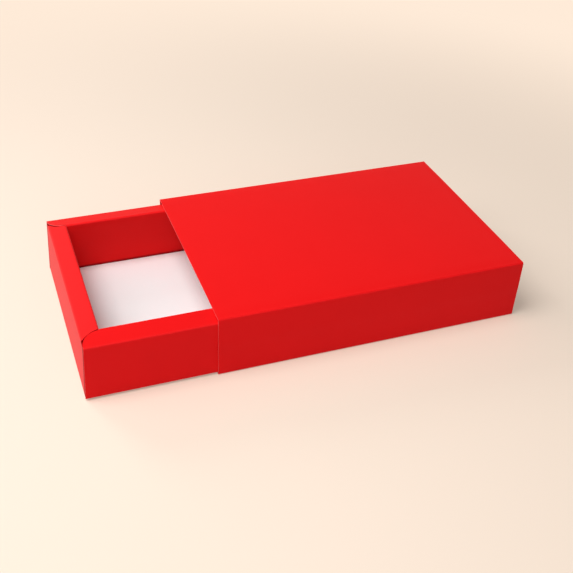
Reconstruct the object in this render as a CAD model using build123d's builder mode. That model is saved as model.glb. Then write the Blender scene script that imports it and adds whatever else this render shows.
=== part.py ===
# Sliding drawer gift box: an open-ended sleeve and a hollow-walled tray, each folded from one sheet of card.
# Millimetres, +Z up. The origin is the centre of the sleeve's underside. The tray is drawn out towards -X.
import os
from math import atan2, cos, pi, sin, tan

from build123d import *

# card and glue
board = 0.6  # thickness of the red card and of the white liner
glue = 0.1  # thickness of a glue line or tape
crease = 0.7  # radius of the card's middle line at a fold
slide_gap = 0.3  # between the tray and the sleeve, on every side
cut_gap = 0.3  # between two cut edges that meet at a tray corner

# sleeve
sleeve_length = 180
sleeve_width = 125
sleeve_height = 37
seam_flap = 14  # height of the glue flap inside the back panel
seam_bevel = 6  # how far the flap's ends slope in
raw_edge_lift = 0.2  # the back panel's cut edge above the table

# tray
tray_length = 179.5
tray_out = 70  # how far the tray is drawn out
rim_width = 11.7
rim_outer_top = 34.1  # the rim's upper face above the table, at its outer edge
rim_inner_top = 36.2  # and at its inner edge, before the fold rounds it down
wall_lean = 4  # how much nearer the outer panel an inner panel's foot is than its top
flange = 9  # depth of the foot flanges under the liner
end_lean = 1.6  # how far the tops of the end panels lean in
ear_radius = 9.4  # of the long rims' rounded ends, which lie over the corners
ear_root = 0.8  # from the outer fold to where an ear's end starts to round
ear_gap_inner = 0.5  # between an ear and the end rim, at the inner fold
ear_gap_outer = 1.1  # and at the end panel
corner_tab = 11  # length of the tabs behind the long outer panels
tab_margin = 0.9  # from a tab's upper and lower edges to the folds near them
liner_gap = 0.4  # between the liner's edge and the foot of an inner panel

# glue patches and tape, set in from the edges of the card that they hold
patch_inset = 1.5
tab_patch_inset = 3
strip_end_inset = 20
tape_end_inset = 26

# worked out
outer_fold = crease + board / 2
bed = board + slide_gap  # the tray's underside above the table
tray_front = -sleeve_width / 2 + board + slide_gap
tray_back = sleeve_width / 2 - 2 * board - glue - slide_gap
tray_width = tray_back - tray_front
tray_centre = (-sleeve_length / 2 - tray_out + tray_length / 2, (tray_front + tray_back) / 2, bed)
half_length = tray_length / 2
half_width = tray_width / 2
outer_z = rim_outer_top - board / 2 - bed  # middle line of the card, above the tray's underside
inner_z = rim_inner_top - board / 2 - bed
flange_z = board + glue + board / 2
liner_z = flange_z + board / 2 + glue
tab_inset = board + glue + board / 2  # middle line of a corner tab, from the long outer face
tab_crease = tab_inset + crease
tab_bottom = board + tab_margin
tab_top = outer_z - crease - tab_margin
rim_angle = atan2(inner_z - outer_z, rim_width - board)
fold_reach = crease * tan((pi / 2 - rim_angle) / 2)  # from the outer fold to the flat of the rim
ear_inset = board / 2 + ear_root * cos(rim_angle)  # centre of an ear's round, from the long outer face
ear_gap = (ear_gap_inner + ear_gap_outer) / 2
ear_gap_shift = (ear_gap_outer - ear_gap_inner) / 2
foot_inset = rim_width - board / 2 - wall_lean  # middle line of an inner panel's foot
lean_angle = atan2(end_lean, outer_z - board / 2)
end_fold = board / 2 + crease * tan((pi / 2 + lean_angle) / 2)  # depth of an end panel's bottom fold

tray_plan = Plane(origin=tray_centre)
long_section = Plane(origin=tray_centre, x_dir=(0, 1, 0), z_dir=(1, 0, 0))
short_section = Plane(origin=tray_centre, x_dir=(1, 0, 0), z_dir=(0, -1, 0))
tab_section = Plane(
    origin=Vector(*tray_centre) + Vector(half_length - board / 2, 0, board / 2),
    x_dir=(cos(lean_angle), 0, sin(lean_angle)),
    z_dir=(-sin(lean_angle), 0, cos(lean_angle)),
)
mirror_ends = Plane(origin=tray_centre, z_dir=(1, 0, 0))
mirror_sides = Plane(origin=tray_centre, z_dir=(0, 1, 0))


def wall_points(half_span, lean=0):
    """One hollow wall from the tip of its flange to its bottom fold, on the tray's positive side."""
    return [
        (half_span - foot_inset - flange, flange_z),
        (half_span - foot_inset, flange_z),
        (half_span - rim_width + board / 2, inner_z),
        (half_span - board / 2 - lean, outer_z),
        (half_span - board / 2, board / 2),
    ]


def flipped(points):
    """The same points on the negative side, in the opposite order."""
    return [(-across, up) for across, up in reversed(points)]


os.makedirs("parts", exist_ok=True)

# sleeve: glue flap, bottom, front, top and back panels in one folded sheet
flap_y = sleeve_width / 2 - board - glue - board / 2
side_y = sleeve_width / 2 - board / 2
with BuildPart() as sleeve:
    with BuildSketch(Plane.YZ):
        with BuildLine():
            FilletPolyline(
                (flap_y, seam_flap),
                (flap_y, board / 2),
                (-side_y, board / 2),
                (-side_y, sleeve_height - board / 2),
                (side_y, sleeve_height - board / 2),
                (side_y, raw_edge_lift),
                radius=crease,
            )
        trace(line_width=board)
    extrude(amount=sleeve_length / 2, both=True)
    with BuildSketch(Plane.XZ.offset(-flap_y)):
        for side in (-1, 1):
            with BuildLine():
                Polyline(
                    (side * sleeve_length / 2, 2 * outer_fold),
                    (side * (sleeve_length / 2 - seam_bevel), seam_flap),
                    (side * sleeve_length / 2, seam_flap),
                    close=True,
                )
            make_face()
    extrude(amount=board / 2, both=True, mode=Mode.SUBTRACT)
sleeve.part.label = "sleeve"
export_step(sleeve.part, "parts/sleeve.step")

with BuildPart() as sleeve_seam_glue:
    with BuildSketch(Plane.XZ.offset(-flap_y - board / 2)):
        with Locations((0, (2 * outer_fold + seam_flap) / 2)):
            Rectangle(
                sleeve_length - 2 * (seam_bevel + patch_inset),
                seam_flap - 2 * outer_fold - patch_inset,
            )
    extrude(amount=-glue)
sleeve_seam_glue.part.label = "sleeve_seam_glue"
export_step(sleeve_seam_glue.part, "parts/sleeve_seam_glue.step")

# the tray's long walls and base: one section from flange to flange, cut back beyond the corners' mitres,
# with the long outer panels' ends sloped to match the leaning end panels
with BuildPart() as long_walls:
    with BuildSketch(long_section):
        with BuildLine():
            right_side = wall_points(half_width)
            FilletPolyline(*right_side, *flipped(right_side), radius=crease)
        trace(line_width=board)
    extrude(amount=half_length, both=True)
    with BuildSketch(tray_plan.offset(board + glue / 2)):
        with BuildLine():
            Polyline(
                (half_length + board, half_width - outer_fold),
                (half_length - outer_fold - end_lean - cut_gap, half_width - outer_fold),
                (half_length - outer_fold - end_lean - cut_gap, half_width - outer_fold - end_lean),
                (half_length - half_width - cut_gap, 0),
                (half_length + board, 0),
                close=True,
            )
        make_face()
        mirror(about=Plane.YZ)
        mirror(about=Plane.XZ)
    extrude(amount=sleeve_height, mode=Mode.SUBTRACT)
    with BuildSketch(tray_plan):
        with Locations((half_length - end_fold / 2, 0), (end_fold / 2 - half_length, 0)):
            Rectangle(end_fold, tray_width - 2 * tab_crease)
    extrude(amount=board, mode=Mode.SUBTRACT)
    with BuildSketch(short_section):
        with BuildLine():
            Polyline(
                (half_length, board / 2),
                (half_length - end_lean, outer_z - crease),
                (half_length - end_lean, sleeve_height),
                (half_length + board, sleeve_height),
                (half_length + board, board / 2),
                close=True,
            )
        make_face()
        mirror(about=Plane.YZ)
    extrude(amount=tray_width, both=True, mode=Mode.SUBTRACT)

# the tray's short walls: the same section turned, cut to a hollow curve where the long rims' ears lie
with BuildPart() as short_walls:
    with BuildSketch(short_section):
        with BuildLine():
            FilletPolyline(
                *wall_points(half_length, end_lean),
                (half_length - 3 * outer_fold, board / 2),
                radius=crease,
            )
        trace(line_width=board)
        mirror(about=Plane.YZ)
    extrude(amount=half_width - tab_crease, both=True)
    with BuildSketch(tray_plan.offset(board + glue / 2)):
        with BuildLine():
            Polyline(
                (half_length - outer_fold - end_lean, half_width - outer_fold - end_lean - cut_gap),
                (half_length - outer_fold - end_lean, half_width + board),
                (0, half_width + board),
                (0, half_width - half_length - cut_gap),
                close=True,
            )
        make_face()
        mirror(about=Plane.YZ)
        mirror(about=Plane.XZ)
    extrude(amount=sleeve_height, mode=Mode.SUBTRACT)
    with BuildSketch(tray_plan.offset(outer_z - crease)):
        with Locations((
            half_length - end_lean - ear_radius + ear_gap_shift,
            half_width - ear_inset + ear_gap_shift,
        )):
            Circle(ear_radius + ear_gap)
        mirror(about=Plane.YZ)
        mirror(about=Plane.XZ)
    extrude(amount=sleeve_height, mode=Mode.SUBTRACT)

rim_slope = Vector(0, rim_width - board, outer_z - inner_z).normalized()
ear_plane = Plane(
    origin=Vector(*tray_centre) + Vector(half_length - end_lean, half_width - board / 2, outer_z),
    x_dir=(-1, 0, 0),
    z_dir=Vector(1, 0, 0).cross(rim_slope),
)
ear_top = ear_root + ear_radius
with BuildPart() as ear:
    with BuildSketch(ear_plane):
        with BuildLine():
            Line((0, fold_reach), (rim_width, fold_reach))
            Line((rim_width, fold_reach), (rim_width, ear_top))
            Line((rim_width, ear_top), (ear_radius, ear_top))
            RadiusArc((ear_radius, ear_top), (0, ear_root), -ear_radius)
            Line((0, ear_root), (0, fold_reach))
        make_face()
    extrude(amount=board / 2, both=True)

# tray: long walls, short walls, ears over the corners and the tabs that fold in behind the long panels
with BuildPart() as tray:
    add(long_walls.part)
    add(short_walls.part)
    add(ear.part)
    add(ear.part.mirror(mirror_ends))
    add(ear.part.mirror(mirror_sides))
    add(ear.part.mirror(mirror_ends).mirror(mirror_sides))
    with BuildSketch(tab_section.offset(tab_bottom - board / 2)):
        with BuildLine():
            FilletPolyline(
                (board / 2 - corner_tab, tab_inset - half_width),
                (0, tab_inset - half_width),
                (0, half_width - tab_inset),
                (board / 2 - corner_tab, half_width - tab_inset),
                radius=crease,
            )
        trace(line_width=board)
    extrude(amount=tab_top - tab_bottom)
    mirror(about=mirror_ends)
tray.part.label = "tray"
export_step(tray.part, "parts/tray.step")

with BuildPart() as tray_corner_glue:
    with BuildSketch(long_section.offset(half_length - corner_tab / 2 - outer_fold)):
        for side in (-1, 1):
            with Locations((side * (half_width - board - glue / 2), (tab_bottom + tab_top) / 2)):
                Rectangle(glue, tab_top - tab_bottom - 2 * tab_patch_inset)
    extrude(amount=corner_tab / 2 - tab_patch_inset, both=True)
    mirror(about=mirror_ends)
tray_corner_glue.part.label = "tray_corner_glue"
export_step(tray_corner_glue.part, "parts/tray_corner_glue.step")

flange_middle = foot_inset + flange / 2
with BuildPart() as tray_flange_glue:
    with BuildSketch(tray_plan.offset(board)):
        with Locations((0, half_width - flange_middle), (0, flange_middle - half_width)):
            Rectangle(tray_length - 2 * strip_end_inset, flange - 2 * patch_inset)
        with Locations((half_length - flange_middle, 0), (flange_middle - half_length, 0)):
            Rectangle(flange - 2 * patch_inset, tray_width - 2 * strip_end_inset)
    extrude(amount=glue)
tray_flange_glue.part.label = "tray_flange_glue"
export_step(tray_flange_glue.part, "parts/tray_flange_glue.step")

liner_inset = foot_inset + board / 2 + liner_gap
with BuildPart() as floor_liner:
    with BuildSketch(tray_plan.offset(liner_z)):
        Rectangle(tray_length - 2 * liner_inset, tray_width - 2 * liner_inset)
    extrude(amount=board)
floor_liner.part.label = "floor_liner"
export_step(floor_liner.part, "parts/floor_liner.step")

with BuildPart() as liner_tape:
    with BuildSketch(tray_plan.offset(liner_z - glue)):
        with Locations((0, half_width - flange_middle), (0, flange_middle - half_width)):
            Rectangle(tray_length - 2 * tape_end_inset, flange - 3 * patch_inset)
    extrude(amount=glue)
liner_tape.part.label = "liner_tape"
export_step(liner_tape.part, "parts/liner_tape.step")
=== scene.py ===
from math import acos, atan2, cos, pi, radians, sin, sqrt, tan

import bmesh
import bpy
from mathutils import Matrix, Vector


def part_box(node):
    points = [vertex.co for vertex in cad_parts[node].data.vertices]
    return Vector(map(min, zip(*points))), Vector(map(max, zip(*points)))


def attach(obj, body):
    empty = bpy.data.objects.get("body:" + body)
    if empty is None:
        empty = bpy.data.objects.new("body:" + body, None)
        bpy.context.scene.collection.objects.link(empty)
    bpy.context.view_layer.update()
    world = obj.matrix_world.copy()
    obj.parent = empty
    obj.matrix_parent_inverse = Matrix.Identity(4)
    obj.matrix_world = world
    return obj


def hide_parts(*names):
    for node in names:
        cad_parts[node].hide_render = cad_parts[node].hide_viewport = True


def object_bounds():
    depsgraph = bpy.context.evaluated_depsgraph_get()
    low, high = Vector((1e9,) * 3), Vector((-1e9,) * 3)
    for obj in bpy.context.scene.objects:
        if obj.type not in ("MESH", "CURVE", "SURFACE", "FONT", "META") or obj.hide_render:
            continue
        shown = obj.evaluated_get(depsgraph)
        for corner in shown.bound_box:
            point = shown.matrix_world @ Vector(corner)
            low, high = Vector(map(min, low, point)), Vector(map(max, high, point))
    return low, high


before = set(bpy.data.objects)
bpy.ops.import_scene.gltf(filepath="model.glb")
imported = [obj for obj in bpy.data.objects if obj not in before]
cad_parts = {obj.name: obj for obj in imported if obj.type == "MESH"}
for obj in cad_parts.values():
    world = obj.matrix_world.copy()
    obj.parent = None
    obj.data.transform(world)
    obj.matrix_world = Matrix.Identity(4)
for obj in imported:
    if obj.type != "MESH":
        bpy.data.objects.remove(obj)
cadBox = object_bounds()
mm = 0.001
hairline = 0.01 * mm  # a length too small to see
sharpAngle = radians(40)  # an edge that turns more than this is shaded crisp

# the card that both folded sheets are cut from
card = {
    "board": 0.6 * mm,
    "glueLine": 0.1 * mm,
    "foldRadius": 0.7 * mm,  # of the card's middle line
    "foldSteps": 7,
    "wearReach": 1.6 * mm,  # how far from a fold the ink is stressed
    "wearFalloff": 1.5,
    "inkBreaks": (0.22, 0.62),  # stress times paper tooth: the ink starts to break at, is gone at
    "fibreStretch": (0.16, 0.9, 0.9),  # drawn out along X
    "fibreAmount": 0.5,
}
outerFold = card["foldRadius"] + card["board"] / 2


# ---- node helpers

def addNode(tree, kind, settings=None, **sockets):
    node = tree.nodes.new(kind)
    for name, value in (settings or {}).items():
        setattr(node, name, value)
    for name, value in sockets.items():
        plug(tree, node, name.replace("_", " "), value)
    return node


def plug(tree, node, socketName, value):
    # a socket takes a link from another node's output, or a plain value
    target = node.inputs[int(socketName[1:])] if socketName[0] == "n" and socketName[1:].isdigit() \
        else node.inputs[socketName]
    if isinstance(value, bpy.types.NodeSocket):
        tree.links.new(value, target)
    else:
        target.default_value = value


def math(tree, operation, *values):
    node = tree.nodes.new("ShaderNodeMath")
    node.operation = operation
    for i, value in enumerate(values):
        plug(tree, node, f"n{i}", value)
    return node.outputs[0]


def addSockets(tree, inputs, outputs):
    for direction, rows in (("INPUT", inputs), ("OUTPUT", outputs)):
        for name, kind, default in rows:
            socket = tree.interface.new_socket(name, in_out=direction, socket_type="NodeSocket" + kind)
            if default is not None:
                socket.default_value = default


# ---- shader groups

def makeFibreGroup():
    # pressed paper: long faint fibres, a fine tooth and cloudy patches
    tree = bpy.data.node_groups.new("paperFibre", "ShaderNodeTree")
    addSockets(tree,
               [("Tooth Size", "Float", 0.35), ("Cloud Size", "Float", 18.0), ("Fibre Amount", "Float", 0.5)],
               [("Height", "Float", None), ("Cloud", "Float", None), ("Tooth", "Float", None)])
    start, end = tree.nodes.new("NodeGroupInput"), tree.nodes.new("NodeGroupOutput")
    coords = tree.nodes.new("ShaderNodeTexCoord").outputs["Object"]
    inMillimetres = addNode(tree, "ShaderNodeMapping", Vector=coords, Scale=(1 / mm,) * 3).outputs[0]
    toothScale = math(tree, "DIVIDE", 1.0, start.outputs["Tooth Size"])
    cloudScale = math(tree, "DIVIDE", 1.0, start.outputs["Cloud Size"])
    tooth = addNode(tree, "ShaderNodeTexNoise", Vector=inMillimetres, Scale=toothScale,
                    Detail=3.0, Roughness=0.6).outputs[0]
    stretched = addNode(tree, "ShaderNodeMapping", Vector=inMillimetres,
                        Scale=card["fibreStretch"]).outputs[0]
    fibre = addNode(tree, "ShaderNodeTexNoise", Vector=stretched, Scale=toothScale,
                    Detail=2.0, Roughness=0.5, Distortion=0.8).outputs[0]
    cloud = addNode(tree, "ShaderNodeTexNoise", Vector=inMillimetres, Scale=cloudScale,
                    Detail=4.0, Roughness=0.55).outputs[0]
    fibreHeight = math(tree, "MULTIPLY", fibre, start.outputs["Fibre Amount"])
    tree.links.new(math(tree, "ADD", tooth, fibreHeight), end.inputs["Height"])
    tree.links.new(cloud, end.inputs["Cloud"])
    tree.links.new(tooth, end.inputs["Tooth"])
    return tree


def makeCardGroup():
    # card colour: cloudy body, stressed ink along folds, bare core on cut edges, and painted shade inside
    # gaps
    tree = bpy.data.node_groups.new("cardColour", "ShaderNodeTree")
    addSockets(tree,
               [("Deep", "Color", (0.7, 0.01, 0.01, 1)), ("Light", "Color", (0.8, 0.02, 0.02, 1)),
                ("Fold", "Color", (0.9, 0.05, 0.05, 1)), ("Core", "Color", (0.9, 0.1, 0.1, 1)),
                ("Gap", "Color", (0.2, 0.0, 0.0, 1)), ("Cloud", "Float", 0.5), ("Tooth", "Float", 0.5),
                ("Fold Mask", "Float", 0.0), ("Edge Mask", "Float", 0.0), ("Gap Mask", "Float", 0.0)],
               [("Color", "Color", None), ("Wear", "Float", None)])
    start, end = tree.nodes.new("NodeGroupInput"), tree.nodes.new("NodeGroupOutput")

    def blend(amount, first, second):
        node = addNode(tree, "ShaderNodeMix", {"data_type": "RGBA"}, n0=amount, n6=first, n7=second)
        return node.outputs[2]

    body = blend(start.outputs["Cloud"], start.outputs["Deep"], start.outputs["Light"])
    broken = math(tree, "MULTIPLY", start.outputs["Fold Mask"], start.outputs["Tooth"])
    breaksAt, goneAt = card["inkBreaks"]
    wear = addNode(tree, "ShaderNodeMapRange", {"interpolation_type": "SMOOTHSTEP"},
                   Value=broken, From_Min=breaksAt, From_Max=goneAt).outputs[0]
    folded = blend(wear, body, start.outputs["Fold"])
    cut = blend(start.outputs["Edge Mask"], folded, start.outputs["Core"])
    # painted shade: the Gap colour laid over the rest by the Gap Mask
    tree.links.new(blend(start.outputs["Gap Mask"], cut, start.outputs["Gap"]), end.inputs["Color"])
    tree.links.new(wear, end.inputs["Wear"])
    return tree


# ---- materials

redCard = {
    "deep": (0.755, 0.0016, 0.0026, 1),
    "light": (0.795, 0.0022, 0.0034, 1),
    "fold": (0.84, 0.008, 0.010, 1),
    "core": (0.88, 0.09, 0.09, 1),
    "gap": (0.30, 0.0, 0.001, 1),  # painted shade: the colour inside the narrow gaps, where light hardly reaches
    "roughness": (0.50, 0.60),
    "specular": 0.09,
    "sheen": 0.08,
    "sheenTint": (1.0, 0.62, 0.62, 1),
    "bump": 0.10,
    "bumpHeight": 0.03 * mm,
    "toothSize": 0.35,
    "cloudSize": 22.0,
}
paintedShadeCard = {**redCard, "specular": 0.0, "sheen": 0.0}  # the same card without gloss, for faces painted all over with the shade of a gap
whiteCard = {
    "deep": (0.89, 0.92, 0.915, 1),
    "light": (0.915, 0.945, 0.94, 1),
    "fold": (0.85, 0.85, 0.84, 1),
    "core": (0.86, 0.85, 0.83, 1),
    # painted shade for the inside of gaps
    "gap": (0.30, 0.29, 0.28, 1),
    "roughness": (0.55, 0.68),
    "specular": 0.35,
    "sheen": 0.0,
    "sheenTint": (1.0, 1.0, 1.0, 1),
    "bump": 0.12,
    "bumpHeight": 0.03 * mm,
    "toothSize": 0.3,
    "cloudSize": 16.0,
}


def makeCard(name, look, fibreGroup, cardGroup):
    material = bpy.data.materials.new(name)
    material.use_nodes = True
    tree = material.node_tree
    shader = tree.nodes["Principled BSDF"]
    fibre = addNode(tree, "ShaderNodeGroup", {"node_tree": fibreGroup}, Tooth_Size=look["toothSize"],
                    Cloud_Size=look["cloudSize"], Fibre_Amount=card["fibreAmount"])
    foldMask = addNode(tree, "ShaderNodeAttribute", {"attribute_name": "foldWear"}).outputs["Fac"]
    edgeMask = addNode(tree, "ShaderNodeAttribute", {"attribute_name": "cutEdge"}).outputs["Fac"]
    # the painted shade in narrow gaps, as stored on the tray's mesh
    paintedShadeMask = addNode(tree, "ShaderNodeAttribute", {"attribute_name": "gapShade"}).outputs["Fac"]
    colour = addNode(tree, "ShaderNodeGroup", {"node_tree": cardGroup},
                     Deep=look["deep"], Light=look["light"], Fold=look["fold"], Core=look["core"],
                     Gap=look["gap"], Gap_Mask=paintedShadeMask,
                     Cloud=fibre.outputs["Cloud"], Tooth=fibre.outputs["Tooth"],
                     Fold_Mask=foldMask, Edge_Mask=edgeMask)
    low, high = look["roughness"]
    roughness = addNode(tree, "ShaderNodeMapRange", Value=fibre.outputs["Tooth"], To_Min=low, To_Max=high)
    bump = addNode(tree, "ShaderNodeBump", Strength=look["bump"], Distance=look["bumpHeight"],
                   Height=fibre.outputs["Height"])
    tree.links.new(colour.outputs["Color"], shader.inputs["Base Color"])
    tree.links.new(roughness.outputs[0], shader.inputs["Roughness"])
    tree.links.new(bump.outputs[0], shader.inputs["Normal"])
    shader.inputs["Specular IOR Level"].default_value = look["specular"]
    shader.inputs["Sheen Weight"].default_value = look["sheen"]
    shader.inputs["Sheen Tint"].default_value = look["sheenTint"]
    return material


glueLook = {
    "thin": (0.62, 0.52, 0.36, 1),
    "thick": (0.84, 0.79, 0.67, 1),
    "patchScale": 260.0,
    "roughness": (0.25, 0.5),
}


def makeGlue():
    # dried glue and tape, cloudy where it is thicker
    material = bpy.data.materials.new("driedGlue")
    material.use_nodes = True
    tree = material.node_tree
    shader = tree.nodes["Principled BSDF"]
    coords = tree.nodes.new("ShaderNodeTexCoord").outputs["Object"]
    patches = addNode(tree, "ShaderNodeTexNoise", Vector=coords, Scale=glueLook["patchScale"], Detail=3.0)
    ramp = addNode(tree, "ShaderNodeValToRGB", Fac=patches.outputs[0])
    for stop, depth in zip(ramp.color_ramp.elements, ("thin", "thick")):
        stop.color = glueLook[depth]
    low, high = glueLook["roughness"]
    roughness = addNode(tree, "ShaderNodeMapRange", Value=patches.outputs[0], To_Min=low, To_Max=high)
    tree.links.new(ramp.outputs[0], shader.inputs["Base Color"])
    tree.links.new(roughness.outputs[0], shader.inputs["Roughness"])
    return material


fibreGroup, cardGroup = makeFibreGroup(), makeCardGroup()
redMaterial = makeCard("redCard", redCard, fibreGroup, cardGroup)
# painted shade: the card as it looks deep inside a gap
paintedShadeMaterial = makeCard("redCardPaintedShade", paintedShadeCard, fibreGroup, cardGroup)
whiteMaterial = makeCard("whiteCard", whiteCard, fibreGroup, cardGroup)
glueMaterial = makeGlue()
print("materials ready")


# ---- sleeve: a flat blank folded round the tray by a Geometry Nodes tree

sleeveLook = {
    "seamFlap": 14 * mm,  # height of the glue flap inside the back panel
    "seamBevel": 6 * mm,
    "rawEdgeLift": 0.2 * mm,
    "columns": 40,
    "panelRows": 14,
    "bow": 0.22 * mm,  # how far the broad panels belly out
    "bowReach": 28 * mm,
    "warp": 0.05 * mm,
    "warpScale": 14.0,
    "seed": 3.0,
}


def makeFoldedCardTree():
    tree = bpy.data.node_groups.new("foldedCard", "GeometryNodeTree")
    addSockets(tree,
               [("Fold Line", "Geometry", None), ("Length", "Float", 0.18), ("Board", "Float", 0.0006),
                ("Fold Radius", "Float", 0.0007), ("Fold Steps", "Int", 6), ("Columns", "Int", 24),
                ("Panel Rows", "Int", 10), ("Bow", "Float", 0.0), ("Bow Reach", "Float", 0.02),
                ("Warp", "Float", 0.0), ("Warp Scale", "Float", 14.0), ("Wear Reach", "Float", 0.0016),
                ("Flap", "Float", 0.012), ("Flap Bevel", "Float", 0.006), ("Flat Height", "Float", 0.014),
                ("Seed", "Float", 0.0), ("Material", "Material", None)],
               [("Card", "Geometry", None)])
    start, end = tree.nodes.new("NodeGroupInput"), tree.nodes.new("NodeGroupOutput")
    sizes = start.outputs
    shortestPanel, bellyStart = 4.0, 2.0  # in fold radii
    freeHeight = 1.5  # in flat heights

    # the folded path, with rows across the panels so that they can belly
    corners = addNode(tree, "GeometryNodeMeshToCurve", Mesh=sizes["Fold Line"]).outputs[0]
    rounded = addNode(tree, "GeometryNodeFilletCurve", {"mode": "POLY"}, Curve=corners,
                      Count=sizes["Fold Steps"], Radius=sizes["Fold Radius"]).outputs[0]
    reach = tree.nodes.new("GeometryNodeSplineParameter").outputs["Length"]
    ownIndex = tree.nodes.new("GeometryNodeInputIndex").outputs[0]
    nextReach = addNode(tree, "GeometryNodeFieldAtIndex", {"data_type": "FLOAT", "domain": "POINT"},
                        Index=math(tree, "ADD", ownIndex, 1.0), Value=reach).outputs[0]
    isPanel = math(tree, "GREATER_THAN", math(tree, "SUBTRACT", nextReach, reach),
                   math(tree, "MULTIPLY", sizes["Fold Radius"], shortestPanel))
    path = addNode(tree, "GeometryNodeSubdivideCurve", Curve=rounded,
                   Cuts=math(tree, "MULTIPLY", isPanel, sizes["Panel Rows"])).outputs[0]

    # the blank: a grid whose rows are laid on the path's points
    pathCount = addNode(tree, "GeometryNodeAttributeDomainSize", {"component": "CURVE"},
                        Geometry=path).outputs["Point Count"]
    grid = addNode(tree, "GeometryNodeMeshGrid", Size_X=sizes["Length"], Size_Y=1.0,
                   Vertices_X=sizes["Columns"], Vertices_Y=pathCount).outputs[0]
    gridIndex = tree.nodes.new("GeometryNodeInputIndex").outputs[0]
    row = math(tree, "MODULO", gridIndex, pathCount)
    position = tree.nodes.new("GeometryNodeInputPosition").outputs[0]
    onPath = addNode(tree, "GeometryNodeSampleIndex", {"data_type": "FLOAT_VECTOR", "domain": "POINT"},
                     Geometry=path, n1=position, Index=row).outputs[0]
    pathReach = addNode(tree, "GeometryNodeSampleIndex", {"data_type": "FLOAT", "domain": "POINT"},
                        Geometry=path, n1=tree.nodes.new("GeometryNodeSplineParameter").outputs["Length"],
                        Index=row).outputs[0]

    # the glue flap's ends slope in towards its free edge
    flapDepth = math(tree, "SUBTRACT", 1.0, math(tree, "DIVIDE", pathReach, sizes["Flap"]))
    flapInset = math(tree, "MULTIPLY", math(tree, "MAXIMUM", flapDepth, 0.0), sizes["Flap Bevel"])
    halfLength = math(tree, "MULTIPLY", sizes["Length"], 0.5)
    shrink = math(tree, "DIVIDE", math(tree, "SUBTRACT", halfLength, flapInset), halfLength)
    gridX = addNode(tree, "ShaderNodeSeparateXYZ", Vector=position).outputs[0]
    pathYZ = addNode(tree, "ShaderNodeSeparateXYZ", Vector=onPath)
    folded = addNode(tree, "ShaderNodeCombineXYZ", X=math(tree, "MULTIPLY", gridX, shrink),
                     Y=pathYZ.outputs[1], Z=pathYZ.outputs[2]).outputs[0]
    sheet = addNode(tree, "GeometryNodeSetPosition", Geometry=grid, Position=folded).outputs[0]

    # distance to the nearest fold, for wear along it and for the belly between folds
    foldPoints = addNode(tree, "GeometryNodeCurveToMesh", Curve=corners).outputs[0]
    place = addNode(tree, "ShaderNodeSeparateXYZ",
                    Vector=tree.nodes.new("GeometryNodeInputPosition").outputs[0])
    atMiddle = addNode(tree, "ShaderNodeCombineXYZ", X=0.0, Y=place.outputs[1], Z=place.outputs[2]).outputs[0]
    foldDistance = addNode(tree, "GeometryNodeProximity", {"target_element": "POINTS"},
                           n0=foldPoints, Sample_Position=atMiddle).outputs["Distance"]
    wear = addNode(tree, "ShaderNodeMapRange", {"interpolation_type": "SMOOTHSTEP"}, Value=foldDistance,
                   From_Min=0.0, From_Max=sizes["Wear Reach"], To_Min=1.0, To_Max=0.0).outputs[0]
    sheet = addNode(tree, "GeometryNodeStoreNamedAttribute", {"data_type": "FLOAT", "domain": "POINT"},
                    Geometry=sheet, Name="foldWear", Value=wear).outputs[0]
    fullBelly = addNode(tree, "ShaderNodeMapRange", {"interpolation_type": "SMOOTHSTEP"}, Value=foldDistance,
                        From_Min=math(tree, "MULTIPLY", sizes["Fold Radius"], bellyStart),
                        From_Max=sizes["Bow Reach"], To_Min=0.0, To_Max=sizes["Bow"]).outputs[0]
    # the table and the glued flap keep the card flat lower down
    isFree = addNode(tree, "ShaderNodeMapRange", {"interpolation_type": "SMOOTHSTEP"}, Value=place.outputs[2],
                     From_Min=sizes["Flat Height"],
                     From_Max=math(tree, "MULTIPLY", sizes["Flat Height"], freeHeight)).outputs[0]
    belly = math(tree, "MULTIPLY", fullBelly, isFree)
    noise = addNode(tree, "ShaderNodeTexNoise", {"noise_dimensions": "4D"}, W=sizes["Seed"],
                    Scale=sizes["Warp Scale"], Detail=1.0).outputs[0]
    ripple = math(tree, "MULTIPLY", math(tree, "MULTIPLY", noise, belly),
                  math(tree, "DIVIDE", sizes["Warp"], sizes["Bow"]))
    outside = addNode(tree, "GeometryNodeInputNormal").outputs[0]
    half = math(tree, "MULTIPLY", sizes["Board"], 0.5)
    lift = math(tree, "SUBTRACT", math(tree, "ADD", belly, ripple), half)
    moved = addNode(tree, "ShaderNodeVectorMath", {"operation": "SCALE"}, n0=outside, Scale=lift).outputs[0]
    inner = addNode(tree, "GeometryNodeSetPosition", Geometry=sheet, Offset=moved).outputs[0]

    # the board's thickness, with its cut edges marked
    thick = addNode(tree, "GeometryNodeExtrudeMesh", {"mode": "FACES"}, Mesh=inner,
                    Offset_Scale=sizes["Board"], Individual=False)
    marked = addNode(tree, "GeometryNodeStoreNamedAttribute", {"data_type": "FLOAT", "domain": "FACE"},
                     Geometry=thick.outputs["Mesh"], Name="cutEdge", Value=thick.outputs["Side"]).outputs[0]
    back = addNode(tree, "GeometryNodeFlipFaces", Mesh=inner).outputs[0]
    joined = tree.nodes.new("GeometryNodeJoinGeometry")
    tree.links.new(marked, joined.inputs[0])
    tree.links.new(back, joined.inputs[0])
    welded = addNode(tree, "GeometryNodeMergeByDistance", Geometry=joined.outputs[0], Distance=1e-6)
    real = addNode(tree, "GeometryNodeRealizeInstances", Geometry=welded.outputs[0])
    coloured = addNode(tree, "GeometryNodeSetMaterial", Geometry=real.outputs[0], Material=sizes["Material"])
    tree.links.new(coloured.outputs[0], end.inputs["Card"])
    return tree


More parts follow.
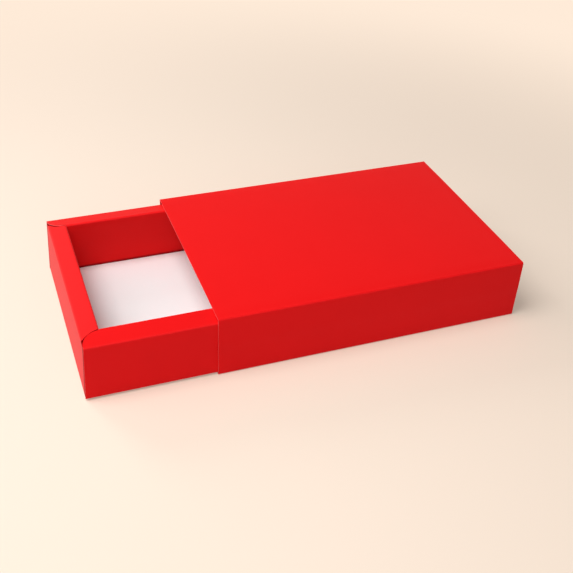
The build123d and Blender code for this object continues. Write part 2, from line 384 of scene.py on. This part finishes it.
def runTree(carrier, tree, values):
    # sets the named inputs, and returns the result as a plain mesh
    modifier = carrier.modifiers.new(tree.name, "NODES")
    modifier.node_group = tree
    for item in tree.interface.items_tree:
        if item.item_type == "SOCKET" and item.in_out == "INPUT" and item.name in values:
            modifier[item.identifier] = values[item.name]
    bpy.context.view_layer.update()
    graph = bpy.context.evaluated_depsgraph_get()
    mesh = bpy.data.meshes.new_from_object(carrier.evaluated_get(graph), depsgraph=graph)
    carrier.modifiers.remove(modifier)
    return mesh


def addPiece(name, mesh, body, slotName, *nodes):
    piece = bpy.data.objects.new(name, mesh)
    bpy.context.scene.collection.objects.link(piece)
    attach(piece, body)
    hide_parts(*nodes)
    return piece


def smoothMesh(mesh):
    # soft shading over the folds, crisp at the cut edges
    shape = bmesh.new()
    shape.from_mesh(mesh)
    bmesh.ops.recalc_face_normals(shape, faces=shape.faces)
    for face in shape.faces:
        face.smooth = True
    for edge in shape.edges:
        if len(edge.link_faces) == 2:
            edge.smooth = edge.calc_face_angle() < sharpAngle
    shape.to_mesh(mesh)
    shape.free()


def makeSleeve():
    low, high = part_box("sleeve")
    half = card["board"] / 2
    sideY = high.y - half
    flapY = high.y - card["board"] - card["glueLine"] - half
    corners = [
        (0, flapY, sleeveLook["seamFlap"]), (0, flapY, half), (0, -sideY, half),
        (0, -sideY, high.z - half), (0, sideY, high.z - half), (0, sideY, sleeveLook["rawEdgeLift"]),
    ]
    line = bpy.data.meshes.new("sleeveFoldLine")
    line.from_pydata(corners, [(i, i + 1) for i in range(len(corners) - 1)], [])
    carrier = bpy.data.objects.new("sleeveFoldLine", line)
    bpy.context.scene.collection.objects.link(carrier)
    mesh = runTree(carrier, makeFoldedCardTree(), {
        "Length": high.x - low.x, "Board": card["board"], "Fold Radius": card["foldRadius"],
        "Fold Steps": card["foldSteps"], "Columns": sleeveLook["columns"],
        "Panel Rows": sleeveLook["panelRows"], "Bow": sleeveLook["bow"], "Bow Reach": sleeveLook["bowReach"],
        "Warp": sleeveLook["warp"], "Warp Scale": sleeveLook["warpScale"], "Wear Reach": card["wearReach"],
        "Flap": sleeveLook["seamFlap"] - 2 * outerFold, "Flap Bevel": sleeveLook["seamBevel"],
        "Flat Height": sleeveLook["seamFlap"], "Seed": sleeveLook["seed"], "Material": redMaterial,
    })
    bpy.data.objects.remove(carrier)
    smoothMesh(mesh)
    return addPiece("sleeveCard", mesh, "sleeve", "red_card", "sleeve")


sleeveCard = makeSleeve()
print("sleeve folded:", len(sleeveCard.data.polygons), "faces")


# ---- tray: long walls with the base, short walls and corner tabs, each a ruled sheet of card

trayLook = {
    "rimWidth": 11.7 * mm,
    "rimOuterTop": 34.1 * mm,  # above the table
    "rimInnerTop": 36.2 * mm,
    "wallLean": 4 * mm,
    "flange": 9 * mm,
    "earRadius": 9.4 * mm,
    "earRoot": 0.8 * mm,
    "frontEarGap": (0.5 * mm, 1.1 * mm),  # at the ear's inner and outer end
    "backEarGap": (0.15 * mm, 0.35 * mm),
    "mitreGap": 0.3 * mm,
    "endLean": 1.6 * mm,  # how far the end panels' tops lean in
    "seamShade": (0.7 * mm, 1.2 * mm),  # the painted shade strip beside a corner seam: dark up to, gone at
    "footShade": (1.3 * mm, 3.0 * mm),  # the painted shade line round the floor
    "darkFrom": 0.9,  # the painted shade from which a face counts as inside a gap
    "cornerTab": 11 * mm,
    "tabMargin": 0.9 * mm,
    "foldMargin": 0.1 * mm,  # from a bottom fold to the base's first row
    "footRows": (1.2 * mm, 1.6 * mm, 2.2 * mm, 3.0 * mm),  # these carry the painted shade line round the floor
    "earSteps": 18,
    "panelRows": 6,
    "columns": 24,
    "tabColumns": 4,
}


def foldPath(corners, extraRows):
    # rounds each corner of a path; extraRows gives a segment's added rows as distances from its start
    radius, steps = card["foldRadius"], card["foldSteps"]
    points = [Vector(c) for c in corners]
    rows = []
    last = len(points) - 1
    for i in range(last):
        along = (points[i + 1] - points[i]).normalized()
        length = (points[i + 1] - points[i]).length
        startTrim = cornerReach(points, i) if i > 0 else 0.0
        endTrim = cornerReach(points, i + 1) if i + 1 < last else 0.0
        stops = [startTrim, *sorted(d for d in extraRows.get(i, []) if startTrim < d < length - endTrim),
                 length - endTrim]
        for stop in stops:
            rows.append(pathRow(points[i] + along * stop, along, i, stop, length - stop, i > 0, i + 1 < last))
        if i + 1 < last:
            after = (points[i + 2] - points[i + 1]).normalized()
            turn = atan2(along.x * after.y - along.y * after.x, along.dot(after))
            side = Vector((-along.y, along.x)) * (1 if turn > 0 else -1)
            centre = points[i + 1] - along * endTrim + side * radius
            for step in range(1, steps):
                angle = turn * step / steps
                heading = Vector((along.x * cos(angle) - along.y * sin(angle),
                                  along.x * sin(angle) + along.y * cos(angle)))
                outward = Vector((heading.y, -heading.x)) * (1 if turn > 0 else -1)
                rows.append(pathRow(centre + outward * radius, heading, i + 0.5, 0.0, 0.0, True, True))
    return rows


def cornerReach(points, i):
    before, after = (points[i] - points[i - 1]).normalized(), (points[i + 1] - points[i]).normalized()
    return card["foldRadius"] * tan(acos(max(-1.0, min(1.0, before.dot(after)))) / 2)


def pathRow(point, heading, segment, fromStart, fromEnd, foldAtStart, foldAtEnd):
    near = min([fromStart] * foldAtStart + [fromEnd] * foldAtEnd) / card["wearReach"]
    return {"point": point, "normal": Vector((-heading.y, heading.x)), "segment": segment,
            "fromStart": fromStart, "fromEnd": fromEnd, "wear": max(0.0, 1.0 - near) ** card["wearFalloff"]}


def ruledSheet(shape, rows, ends, toWorld, columns, shadeAt, sideShade=0.0, nearEnds=()):
    # a closed shell of card: every row runs from its low end to its high end
    wearLayer, edgeLayer = shape.verts.layers.float["foldWear"], shape.faces.layers.float["cutEdge"]
    shadeLayer = shape.loops.layers.float["gapShade"]
    half = card["board"] / 2
    shades, grids = {}, []
    for side in (1, -1):
        grid = []
        for row, (low, high) in zip(rows, ends):
            across = row["point"] + row["normal"] * half * side
            inner = high - low - 2 * max(nearEnds, default=0.0)
            fromLow = [0.0, *nearEnds, *(max(nearEnds, default=0.0) + d for d in spread(inner, columns)),
                       *(high - low - d for d in reversed(nearEnds)), high - low]
            line = []
            for reach in fromLow:
                vert = shape.verts.new(toWorld(low + reach, across.x, across.y))
                vert[wearLayer] = row["wear"]
                shades[vert] = shadeAt(row, min(reach, high - low - reach))
                line.append(vert)
            grid.append(line)
        grids.append(grid)
    top, under = grids
    lastRow, lastColumn = len(rows) - 1, len(top[0]) - 1
    for r in range(lastRow):
        for c in range(lastColumn):
            shape.faces.new((top[r][c], top[r][c + 1], top[r + 1][c + 1], top[r + 1][c]))
            shape.faces.new((under[r][c], under[r + 1][c], under[r + 1][c + 1], under[r][c + 1]))
    tips = [(top[r][c], top[r][c + 1], under[r][c + 1], under[r][c])
            for r in (0, lastRow) for c in range(lastColumn)]
    sides = [(top[r][c], top[r + 1][c], under[r + 1][c], under[r][c])
             for r in range(lastRow) for c in (0, lastColumn)]
    for corners in tips + sides:
        shape.faces.new(corners)[edgeLayer] = 1.0
    # gapShade is painted shade: each vertex's own, and sideShade over the cut edges at the row ends
    for grid in grids:
        for line in grid:
            for vert in line:
                for loop in vert.link_loops:
                    loop[shadeLayer] = max(shades[vert], sideShade * loop.face[edgeLayer])


def spread(length, count):
    return [length * (i + 1) / (count + 1) for i in range(count)]


def wallCorners(halfSpan, bed, lean=0.0):
    # flange tip, foot, inner fold, outer fold and bottom fold of one hollow wall
    half = card["board"] / 2
    foot = halfSpan - (trayLook["rimWidth"] - half - trayLook["wallLean"])
    flangeUp = card["board"] + card["glueLine"] + half
    return [
        (foot - trayLook["flange"], flangeUp),
        (foot, flangeUp),
        (halfSpan - trayLook["rimWidth"] + half, trayLook["rimInnerTop"] - half - bed),
        (halfSpan - half - lean, trayLook["rimOuterTop"] - half - bed),
        (halfSpan - half, half),
    ]


def earArc():
    # rows on the rim, by the angle round the ear, as distances from the outer fold
    root, radius, steps = trayLook["earRoot"], trayLook["earRadius"], trayLook["earSteps"]
    return [root + radius * sin(pi / 2 * i / steps) for i in range(steps + 1)]


def wallSegment(row):
    # 0 is the flange, 1 the inner panel, 2 the rim, 3 the outer panel and 4 the base, with each fold
    # half-way between; the long walls' path goes on from 4 to 8, as its own mirror image
    return min(row["segment"], 8 - row["segment"])


def isMirrored(row):
    return row["segment"] > 4


def footShade(row, fromEnd):
    # the painted shade line where an inner panel meets the floor
    if wallSegment(row) > 1:
        return 0.0
    fromFoot = row["fromEnd"] if isMirrored(row) else row["fromStart"]
    return 1.0 - smooth(*trayLook["footShade"], fromFoot)


def endPanelShade(row, fromEnd):
    # the same painted shade, and the painted shade strip of an end panel beside its corner seams
    if row["segment"] > 2:
        return 1.0 - smooth(*trayLook["seamShade"], fromEnd)
    return footShade(row, fromEnd)


# the corner tabs, hidden behind the long panels, are painted shade all over
def inTheDark(row, fromEnd):
    return 1.0


def smooth(start, end, value):
    share = max(0.0, min(1.0, (value - start) / (end - start)))
    return share * share * (3 - 2 * share)


def longInset(row, halfWidth, panelLength):
    # how far a row of the long walls stops short of the tray's end
    inward = halfWidth - abs(row["point"].x)
    segment = wallSegment(row)
    lean = trayLook["endLean"]
    fromLower = row["fromStart"] if isMirrored(row) else row["fromEnd"]  # from the segment's lower, outer end
    if segment < 2:
        return inward + trayLook["mitreGap"]
    if segment == 2:
        rise = fromLower - trayLook["earRoot"]
        radius = trayLook["earRadius"]
        if rise <= 0:
            return lean
        if rise > radius + hairline:
            return inward + trayLook["mitreGap"]
        return lean + radius - sqrt(max(0.0, radius ** 2 - rise ** 2))
    if segment == 2.5:
        return lean
    if segment == 3:
        return lean * fromLower / panelLength
    if segment == 4:
        return max(0.0, min(outerFold, inward - outerFold))
    return 0.0


def shortInset(row, halfLength, tabCrease, earGap):
    # how far a row of the short walls stops short of the long outer face
    inward = halfLength - row["point"].x
    if row["segment"] < 2:
        return inward + trayLook["mitreGap"]
    if row["segment"] > 2.5:
        return tabCrease
    radius = trayLook["earRadius"]
    narrow, wide = earGap
    reach, shift = radius + (narrow + wide) / 2, (wide - narrow) / 2
    middle = trayLook["endLean"] + radius - shift
    root = card["board"] / 2 + trayLook["earRoot"] - shift
    curve = root + sqrt(max(0.0, reach ** 2 - max(0.0, middle - inward) ** 2))
    return max(curve, inward + trayLook["mitreGap"]) if inward > radius else curve


def makeTray():
    low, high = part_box("tray")
    centre = (low + high) / 2
    bed = low.z
    halfLength, halfWidth = (high.x - low.x) / 2, (high.y - low.y) / 2
    half = card["board"] / 2
    tabInset = card["board"] + card["glueLine"] + half
    tabCrease = tabInset + card["foldRadius"]
    shape = bmesh.new()
    shape.verts.layers.float.new("foldWear")
    shape.faces.layers.float.new("cutEdge")
    shape.loops.layers.float.new("gapShade")

    corners = wallCorners(halfWidth, bed)
    rimLength = (Vector(corners[3]) - Vector(corners[2])).length
    wallLength = (Vector(corners[2]) - Vector(corners[1])).length
    panelLength = corners[3][1] - corners[4][1]
    baseWidth = 2 * (halfWidth - half)
    rows = trayLook["panelRows"]
    fromFoot = [*trayLook["footRows"], *spread(wallLength, rows)[1:]]
    nearFold = [outerFold + trayLook["foldMargin"], 2 * outerFold]
    arc = earArc()
    path = foldPath(corners + [(-a, up) for a, up in reversed(corners)], {
        1: fromFoot, 2: [rimLength - d for d in arc], 3: spread(panelLength, rows),
        4: [*nearFold, *(baseWidth - d for d in nearFold)],
        5: spread(panelLength, rows), 6: arc, 7: [wallLength - d for d in fromFoot],
    })
    ends = []
    for row in path:
        inset = longInset(row, halfWidth, panelLength)
        ends.append((inset - halfLength, halfLength - inset))
    ruledSheet(shape, path, ends, lambda along, a, b: (centre.x + along, centre.y + a, bed + b),
               trayLook["columns"], footShade)

    lean = trayLook["endLean"]
    shortCorners = wallCorners(halfLength, bed, lean) + [(halfLength - outerFold, half)]
    shortRim = (Vector(shortCorners[3]) - Vector(shortCorners[2])).length
    shortPath = foldPath(shortCorners, {
        1: fromFoot, 2: spread(shortRim, trayLook["earSteps"]), 3: spread(panelLength, rows),
    })
    shortEnds = []
    for row in shortPath:
        frontInset = shortInset(row, halfLength, tabCrease, trayLook["frontEarGap"])
        backInset = shortInset(row, halfLength, tabCrease, trayLook["backEarGap"])
        shortEnds.append((frontInset - halfWidth, halfWidth - backInset))
    # the end panels carry a painted shade strip by the seams, and their side cut edges are painted shade all
    # over
    for way in (1, -1):
        ruledSheet(shape, shortPath, shortEnds,
                   lambda along, a, b, way=way: (centre.x + way * a, centre.y + along, bed + b),
                   trayLook["columns"], endPanelShade, 1.0, trayLook["seamShade"])

    tabLow = card["board"] + trayLook["tabMargin"]
    tabHigh = trayLook["rimOuterTop"] - half - bed - card["foldRadius"] - trayLook["tabMargin"]
    tabPath = foldPath([
        (halfLength - half, halfWidth - tabCrease - hairline), (halfLength - half, halfWidth - tabInset),
        (halfLength - trayLook["cornerTab"], halfWidth - tabInset),
    ], {})
    tabEnds = [(tabLow, tabHigh)] * len(tabPath)
    for wayX in (1, -1):
        for wayY in (1, -1):
            ruledSheet(shape, tabPath, tabEnds,
                       lambda along, a, b, wayX=wayX, wayY=wayY:
                       (centre.x + wayX * (a - lean * (along - half) / panelLength),
                        centre.y + wayY * b, bed + along), trayLook["tabColumns"], inTheDark)

    # faces that are painted shade all over take the gloss-free painted shade material
    shadeLayer = shape.loops.layers.float["gapShade"]
    for face in shape.faces:
        face.material_index = int(all(loop[shadeLayer] > trayLook["darkFrom"] for loop in face.loops))
    mesh = bpy.data.meshes.new("trayCard")
    shape.to_mesh(mesh)
    shape.free()
    for material in (redMaterial, paintedShadeMaterial):
        mesh.materials.append(material)
    smoothMesh(mesh)
    return addPiece("trayCard", mesh, "tray", "red_card", "tray")


trayCard = makeTray()
print("tray folded:", len(trayCard.data.polygons), "faces")


# ---- floor liner and hidden glue

linerLook = {"cells": 24, "edgeRound": 0.12 * mm, "edgeSteps": 2}


def makeLiner():
    low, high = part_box("floor_liner")
    middle, size = (low + high) / 2, high - low
    cells = linerLook["cells"]
    shape = bmesh.new()
    wearLayer = shape.verts.layers.float.new("foldWear")
    edgeLayer = shape.faces.layers.float.new("cutEdge")
    bmesh.ops.create_cube(shape, size=1.0, matrix=Matrix.Translation(middle) @ Matrix.Diagonal((*size, 1)))
    for face in shape.faces:
        face[edgeLayer] = 0.0 if abs(face.normal.z) > 0.5 else 1.0
    flatEdges = [e for e in shape.edges if abs(e.verts[0].co.z - e.verts[1].co.z) < size.z / 2]
    bmesh.ops.subdivide_edges(shape, edges=flatEdges, cuts=cells, use_grid_fill=True)
    outline = [e for e in shape.edges if len(e.link_faces) == 2 and e.calc_face_angle() > sharpAngle]
    bmesh.ops.bevel(shape, geom=outline, offset=linerLook["edgeRound"], segments=linerLook["edgeSteps"],
                    affect="EDGES", profile=0.5)
    for vert in shape.verts:
        vert[wearLayer] = 0.0
    mesh = bpy.data.meshes.new("linerCard")
    shape.to_mesh(mesh)
    shape.free()
    mesh.materials.append(whiteMaterial)
    smoothMesh(mesh)
    return addPiece("linerCard", mesh, "tray", "white_card", "floor_liner")


linerCard = makeLiner()
for glueNode in ("sleeve_seam_glue", "tray_corner_glue", "tray_flange_glue", "liner_tape"):
    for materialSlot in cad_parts[glueNode].material_slots:
        materialSlot.material = glueMaterial
print("liner and glue ready")


# ---- floor, light and camera

stageLook = {
    "floorColour": (1.0, 0.831, 0.687, 1),
    "bounceColour": (0.70, 0.65, 0.61, 1),
    "floorHalf": 3.0,
    "floorDrop": 0.05 * mm,
    "litColour": (0.90, 0.76, 0.64, 1),
    "evenShare": (0.30, 1.0),  # how much of the floor's look is even, near the box and far from it
    "evenReach": (0.20, 0.55),  # the rest takes light and shadow
    "skyColour": (1.0, 0.98, 0.96, 1),
    "skyStrength": 0.13,
}
lamps = {
    "windowLeft": {"place": (-1.00, 0.20, 0.72), "size": 0.9, "power": 3.7},
    "softTop": {"place": (-0.35, -0.10, 0.75), "size": 0.5, "power": 4.9},
    "glowBack": {"place": (-0.62, 0.95, 0.56), "size": 0.5, "power": 4.8},
    "fillFront": {"place": (-0.25, -1.20, 0.42), "size": 1.0, "power": 4.4},
}
cameraLook = {
    "aim": (-0.0374, -0.0215, 0.0185),
    "azimuth": -21.83,
    "elevation": 36.04,
    "roll": 3.0,
    "distance": 0.5229,
    "lens": 57.63,
}


def isSeen(tree):
    # 1 where the camera sees the background, also in a reflection or through something clear
    rays = tree.nodes.new("ShaderNodeLightPath").outputs
    indirect = math(tree, "MAXIMUM", rays["Is Glossy Ray"], rays["Is Transmission Ray"])
    return math(tree, "MAXIMUM", rays["Is Camera Ray"], indirect)


def mixShaders(tree, share, first, second):
    return addNode(tree, "ShaderNodeMixShader", n0=share, n1=first.outputs[0], n2=second.outputs[0])


def makeFloor():
    size = stageLook["floorHalf"]
    mesh = bpy.data.meshes.new("floor")
    drop = -stageLook["floorDrop"]
    mesh.from_pydata([(-size, -size, drop), (size, -size, drop), (size, size, drop), (-size, size, drop)],
                     [], [(0, 1, 2, 3)])
    floor = bpy.data.objects.new("floor", mesh)
    bpy.context.scene.collection.objects.link(floor)
    material = bpy.data.materials.new("paleFloor")
    material.use_nodes = True
    tree = material.node_tree
    tree.nodes.clear()
    lit = addNode(tree, "ShaderNodeBsdfDiffuse", Color=stageLook["litColour"])
    even = addNode(tree, "ShaderNodeEmission", Color=stageLook["floorColour"], Strength=1.0)
    coords = tree.nodes.new("ShaderNodeTexCoord").outputs["Object"]
    fromBox = addNode(tree, "ShaderNodeVectorMath", {"operation": "DISTANCE"},
                      n0=coords, n1=(cadBox[0] + cadBox[1]) / 2).outputs["Value"]
    (nearShare, farShare), (near, far) = stageLook["evenShare"], stageLook["evenReach"]
    share = addNode(tree, "ShaderNodeMapRange", {"interpolation_type": "SMOOTHSTEP"}, Value=fromBox,
                    From_Min=near, From_Max=far, To_Min=nearShare, To_Max=farShare)
    shown = mixShaders(tree, share.outputs[0], lit, even)
    bounce = addNode(tree, "ShaderNodeBsdfDiffuse", Color=stageLook["bounceColour"])
    output = tree.nodes.new("ShaderNodeOutputMaterial")
    tree.links.new(mixShaders(tree, isSeen(tree), bounce, shown).outputs[0], output.inputs["Surface"])
    mesh.materials.append(material)


def makeWorld():
    world = bpy.data.worlds.new("studio")
    bpy.context.scene.world = world
    world.use_nodes = True
    tree = world.node_tree
    tree.nodes.clear()
    sky = addNode(tree, "ShaderNodeBackground", Color=stageLook["skyColour"],
                  Strength=stageLook["skyStrength"])
    wall = addNode(tree, "ShaderNodeBackground", Color=stageLook["floorColour"], Strength=1.0)
    output = tree.nodes.new("ShaderNodeOutputWorld")
    tree.links.new(mixShaders(tree, isSeen(tree), sky, wall).outputs[0], output.inputs["Surface"])


def makeLamps():
    aim = Vector(cameraLook["aim"])
    for name, lamp in lamps.items():
        light = bpy.data.lights.new(name, "AREA")
        light.shape = "DISK"
        light.size = lamp["size"]
        light.energy = lamp["power"]
        holder = bpy.data.objects.new(name, light)
        holder.location = lamp["place"]
        holder.rotation_mode = "QUATERNION"
        holder.rotation_quaternion = (aim - Vector(lamp["place"])).to_track_quat("-Z", "Y")
        bpy.context.scene.collection.objects.link(holder)


def makeCamera():
    azimuth, elevation, roll = (radians(cameraLook[k]) for k in ("azimuth", "elevation", "roll"))
    back = Vector((sin(azimuth) * cos(elevation), -cos(azimuth) * cos(elevation), sin(elevation)))
    level = Vector((0, 0, 1)).cross(back).normalized()
    upright = back.cross(level)
    right = level * cos(roll) + upright * sin(roll)
    up = upright * cos(roll) - level * sin(roll)
    camera = bpy.data.cameras.new("camera")
    camera.lens = cameraLook["lens"]
    camera.sensor_width = 36
    holder = bpy.data.objects.new("camera", camera)
    bpy.context.scene.collection.objects.link(holder)
    turned = Matrix((right, up, back)).transposed().to_4x4()
    place = Vector(cameraLook["aim"]) + back * cameraLook["distance"]
    holder.matrix_world = Matrix.Translation(place) @ turned
    bpy.context.scene.camera = holder


makeFloor()
makeWorld()
makeLamps()
makeCamera()
bpy.context.scene.view_settings.view_transform = "Standard"
print("floor, light and camera ready")
